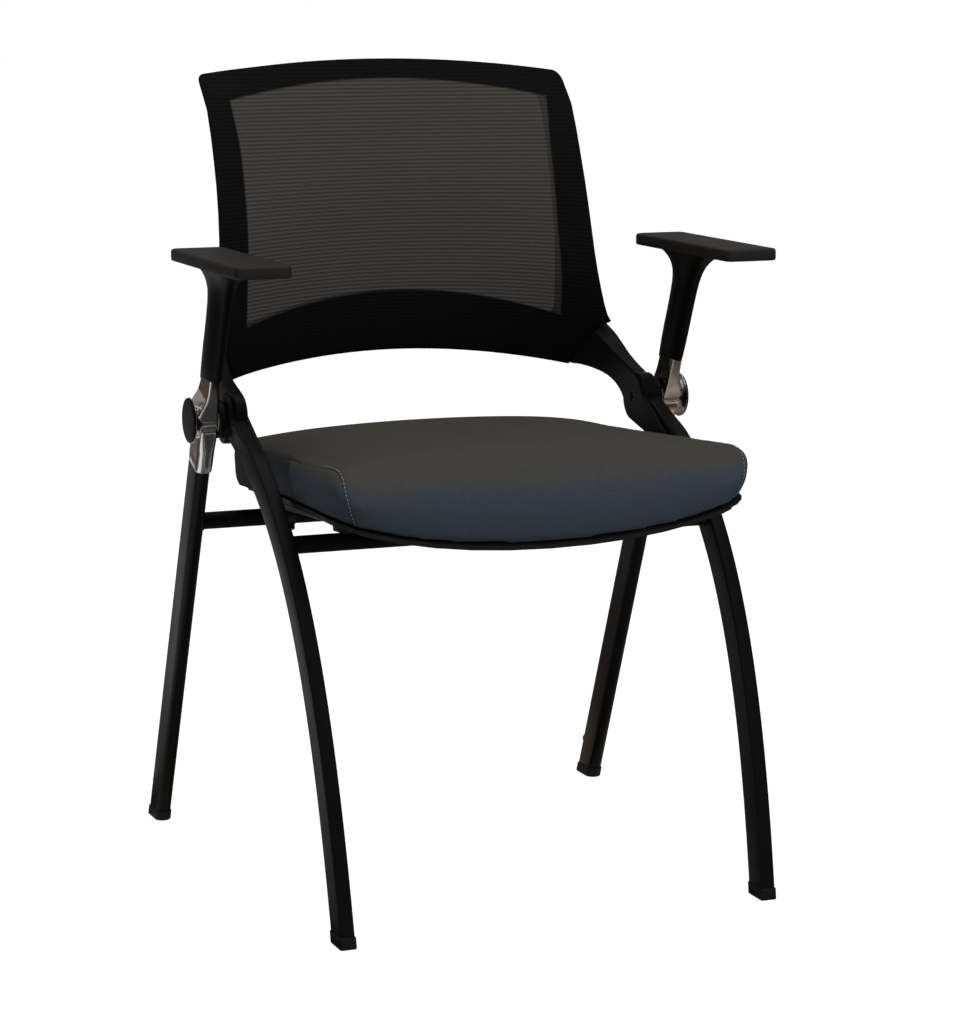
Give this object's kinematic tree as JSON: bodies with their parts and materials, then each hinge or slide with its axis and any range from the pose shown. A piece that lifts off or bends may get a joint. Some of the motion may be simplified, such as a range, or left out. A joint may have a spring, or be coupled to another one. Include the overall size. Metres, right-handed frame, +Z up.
{
  "type": "nesting chair",
  "caption": "Nesting chair with a mesh back, upholstered flip-up seat, fixed arms with pads, and a folding frame of bent and straight flat-sided tubes.",
  "frame": {"origin": "on the floor under the middle of the chair's overall width and depth", "axes": "+Z up, the sitter faces -Y, +X is the sitter's left"},
  "size_m": [0.603, 0.5829, 0.868],
  "materials": {
    "powder_coat": "satin black",
    "rubber": "matte black",
    "polished_casting": "polished",
    "black_plastic": "fine satin black",
    "soft_pad": "soft matte dark grey",
    "nylon": "natural",
    "zinc_steel": "zinc plated",
    "knit_mesh": "knitted mesh",
    "seat_cloth": "flat weave"
  },
  "bodies": {
    "rear_frame": {"rear_leg_l": "powder_coat", "rear_leg_r": "powder_coat", "rear_crossbar": "powder_coat", "rear_foot_l": "rubber", "rear_foot_r": "rubber", "nest_bumper_l": "rubber", "nest_bumper_r": "rubber", "joint_casting_l": "polished_casting", "joint_casting_r": "polished_casting", "arm_post_l": "black_plastic", "arm_post_r": "black_plastic", "arm_pad_l": "soft_pad", "arm_pad_r": "soft_pad", "pivot_cap_l": "black_plastic", "pivot_cap_r": "black_plastic", "pivot_bush_l": "nylon", "pivot_bush_r": "nylon", "pivot_washer_l": "nylon", "pivot_washer_r": "nylon", "hinge_sleeve_l": "nylon", "hinge_sleeve_r": "nylon"},
    "front_frame": {"front_leg_l": "powder_coat", "front_leg_r": "powder_coat", "front_crossbar": "powder_coat", "front_foot_l": "rubber", "front_foot_r": "rubber", "leg_knuckle_l": "powder_coat", "leg_knuckle_r": "powder_coat", "pivot_axle_l": "zinc_steel", "pivot_axle_r": "zinc_steel", "back_frame": "black_plastic", "back_mesh": "knit_mesh", "back_screw_l": "zinc_steel", "back_screw_r": "zinc_steel"},
    "seat": {"seat_pan": "black_plastic", "seat_cushion": "seat_cloth", "seat_rail_l": "zinc_steel", "seat_rail_r": "zinc_steel", "rest_pad_l": "rubber", "rest_pad_r": "rubber", "seat_screw_1_l": "zinc_steel", "seat_screw_1_r": "zinc_steel", "seat_screw_2_l": "zinc_steel", "seat_screw_2_r": "zinc_steel"}
  },
  "joints": [
    {"name": "frame_fold", "type": "hinge", "parent": "rear_frame", "child": "front_frame", "pos_m": [0, 0.06223, 0.492], "axis": [1, 0, 0], "range_deg": [0, 10]},
    {"name": "seat_flip", "type": "hinge", "parent": "rear_frame", "child": "seat", "pos_m": [0, 0.11275, 0.373], "axis": [-1, 0, 0], "range_deg": [0, 64]}
  ]
}
